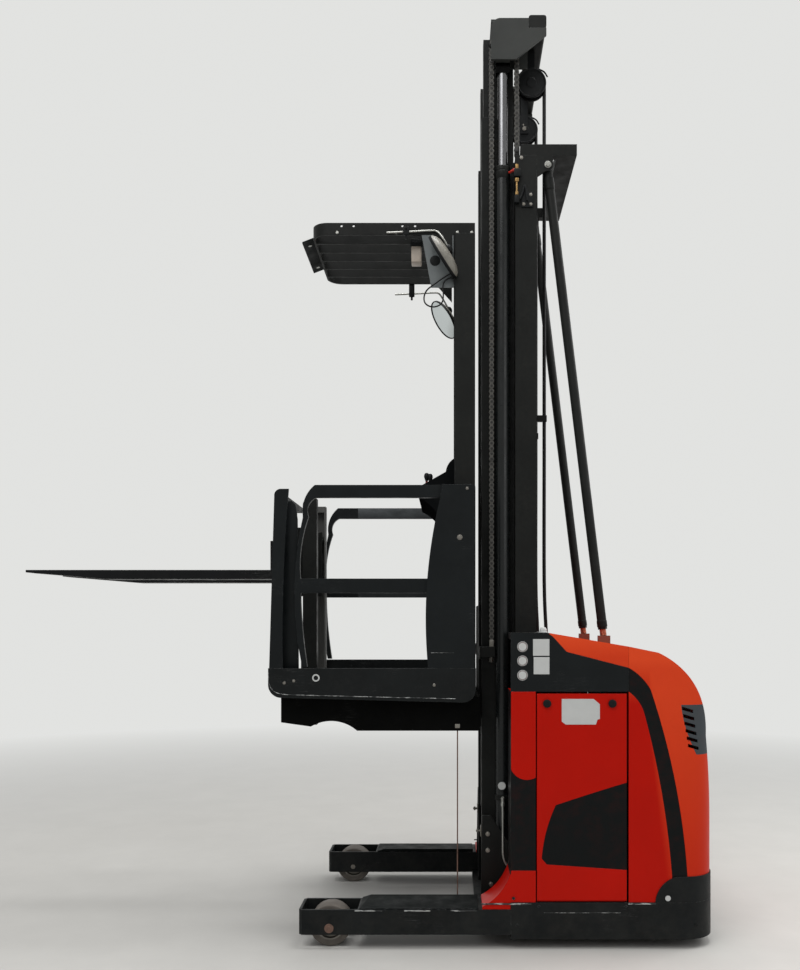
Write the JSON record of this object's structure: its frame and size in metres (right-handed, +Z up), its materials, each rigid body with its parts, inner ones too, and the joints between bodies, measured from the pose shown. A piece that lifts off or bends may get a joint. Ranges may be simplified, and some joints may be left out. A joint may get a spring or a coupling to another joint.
{
  "type": "order picker truck",
  "caption": "High level electric order picker truck with two stage mast, lifting operator cab, overhead guard, side gates and auxiliary fork lift, mast partly raised.",
  "frame": {"origin": "centre of the ground contact area of the bounding box, on the floor", "axes": "+X towards the drive end, forks point to -X, +Y to the operator's right, +Z up"},
  "size_m": [3.314, 1.3, 4.411],
  "materials": {
    "black_frame": "satin",
    "black_body": "satin",
    "mast_paint": "satin",
    "grey_plate": "matte",
    "red_body": "gloss",
    "battery_case": "satin",
    "bare_steel": "worn",
    "fork_steel": "worn",
    "chrome_rod": "polished",
    "chain_steel": "oiled",
    "black_plastic": "matte",
    "hose_rubber": "matte",
    "clear_screen": "clear",
    "wheel_tread": "matte"
  },
  "bodies": {
    "chassis": {"chassis_frame": "black_frame", "support_leg_left": "black_frame", "support_leg_right": "black_frame", "leg_covers": "grey_plate", "load_axles": "bare_steel", "battery": "battery_case", "rear_hood": "red_body", "rear_bumper": "black_frame", "corner_covers": "red_body", "side_bands": "black_body", "deck_cover": "red_body", "outer_rail_left": "mast_paint", "outer_rail_right": "mast_paint", "mast_columns": "mast_paint", "mast_crossbeams": "mast_paint", "mast_top_frame": "mast_paint", "mast_struts": "mast_paint", "lift_cylinders": "mast_paint"},
    "steering": {"drive_unit": "black_frame", "drive_motor": "black_frame"},
    "drive_wheel": {"drive_wheel": "wheel_tread"},
    "load_wheel_left": {"load_wheel_left": "wheel_tread"},
    "load_wheel_right": {"load_wheel_right": "wheel_tread"},
    "battery_door_left": {"battery_door_left": "red_body"},
    "battery_door_right": {"battery_door_right": "red_body"},
    "mast_inner": {"inner_rail_left": "mast_paint", "inner_rail_right": "mast_paint", "inner_crossbars": "mast_paint", "mast_heads": "mast_paint", "head_beam": "mast_paint", "cylinder_rods": "chrome_rod", "chain_sheaves": "bare_steel", "hose_sheaves": "black_plastic", "lift_chain_rear": "chain_steel", "mast_hose_rear": "hose_rubber"},
    "cab": {"cab_platform": "black_frame", "cab_underframe": "black_frame", "cab_carriage": "mast_paint", "cab_side_panel_left": "black_body", "cab_side_panel_right": "black_body", "front_panel_left": "black_body", "front_panel_right": "black_body", "guard_posts": "mast_paint", "overhead_guard": "mast_paint", "guard_front_plate": "grey_plate", "console": "black_plastic", "gate_pins": "bare_steel", "aux_rails": "mast_paint", "mirrors": "black_plastic", "rear_screen": "clear_screen", "lift_chain_front": "chain_steel", "mast_hose_front": "hose_rubber"},
    "gate_left": {"gate_left": "black_body"},
    "gate_right": {"gate_right": "black_body"},
    "fork_carriage": {"fork_carriage": "mast_paint", "fork_left": "fork_steel", "fork_right": "fork_steel"}
  },
  "joints": [
    {"name": "steering", "type": "hinge", "parent": "chassis", "child": "steering", "pos_m": [1.425, 0, 0.155], "axis": [0, 0, 1], "range_deg": [-90, 90]},
    {"name": "drive_roll", "type": "hinge", "parent": "steering", "child": "drive_wheel", "pos_m": [1.425, 0, 0.155], "axis": [0, 1, 0], "continuous": true},
    {"name": "load_roll_left", "type": "hinge", "parent": "chassis", "child": "load_wheel_left", "pos_m": [-0.118, -0.554, 0.095], "axis": [0, 1, 0], "continuous": true},
    {"name": "load_roll_right", "type": "hinge", "parent": "chassis", "child": "load_wheel_right", "pos_m": [-0.118, 0.554, 0.095], "axis": [0, 1, 0], "continuous": true},
    {"name": "battery_door_left", "type": "hinge", "parent": "chassis", "child": "battery_door_left", "pos_m": [1.036, -0.6325, 0.2248], "axis": [1, 0, 0], "range_deg": [0, 80]},
    {"name": "battery_door_right", "type": "hinge", "parent": "chassis", "child": "battery_door_right", "pos_m": [1.036, 0.6325, 0.2248], "axis": [-1, 0, 0], "range_deg": [0, 80]},
    {"name": "mast_lift", "type": "slide", "parent": "chassis", "child": "mast_inner", "axis": [0, 0, 1], "range_m": [-0.41, 2.45], "deforming": ["lift_chain_rear", "mast_hose_rear"]},
    {"name": "carriage_lift", "type": "slide", "parent": "mast_inner", "child": "cab", "axis": [0, 0, 1], "range_m": [-0.41, 2.45], "deforming": ["lift_chain_front", "mast_hose_front"]},
    {"name": "fork_lift", "type": "slide", "parent": "cab", "child": "fork_carriage", "axis": [0, 0, 1], "range_m": [-0.7, 0.05]},
    {"name": "gate_left", "type": "hinge", "parent": "cab", "child": "gate_left", "pos_m": [0.48, -0.48, 1.89], "axis": [0, 1, 0], "range_deg": [0, 70]},
    {"name": "gate_right", "type": "hinge", "parent": "cab", "child": "gate_right", "pos_m": [0.48, 0.48, 1.89], "axis": [0, 1, 0], "range_deg": [0, 70]}
  ],
  "couplings": [
    {"joint": "carriage_lift", "follows": "mast_lift", "ratio": 1}
  ]
}
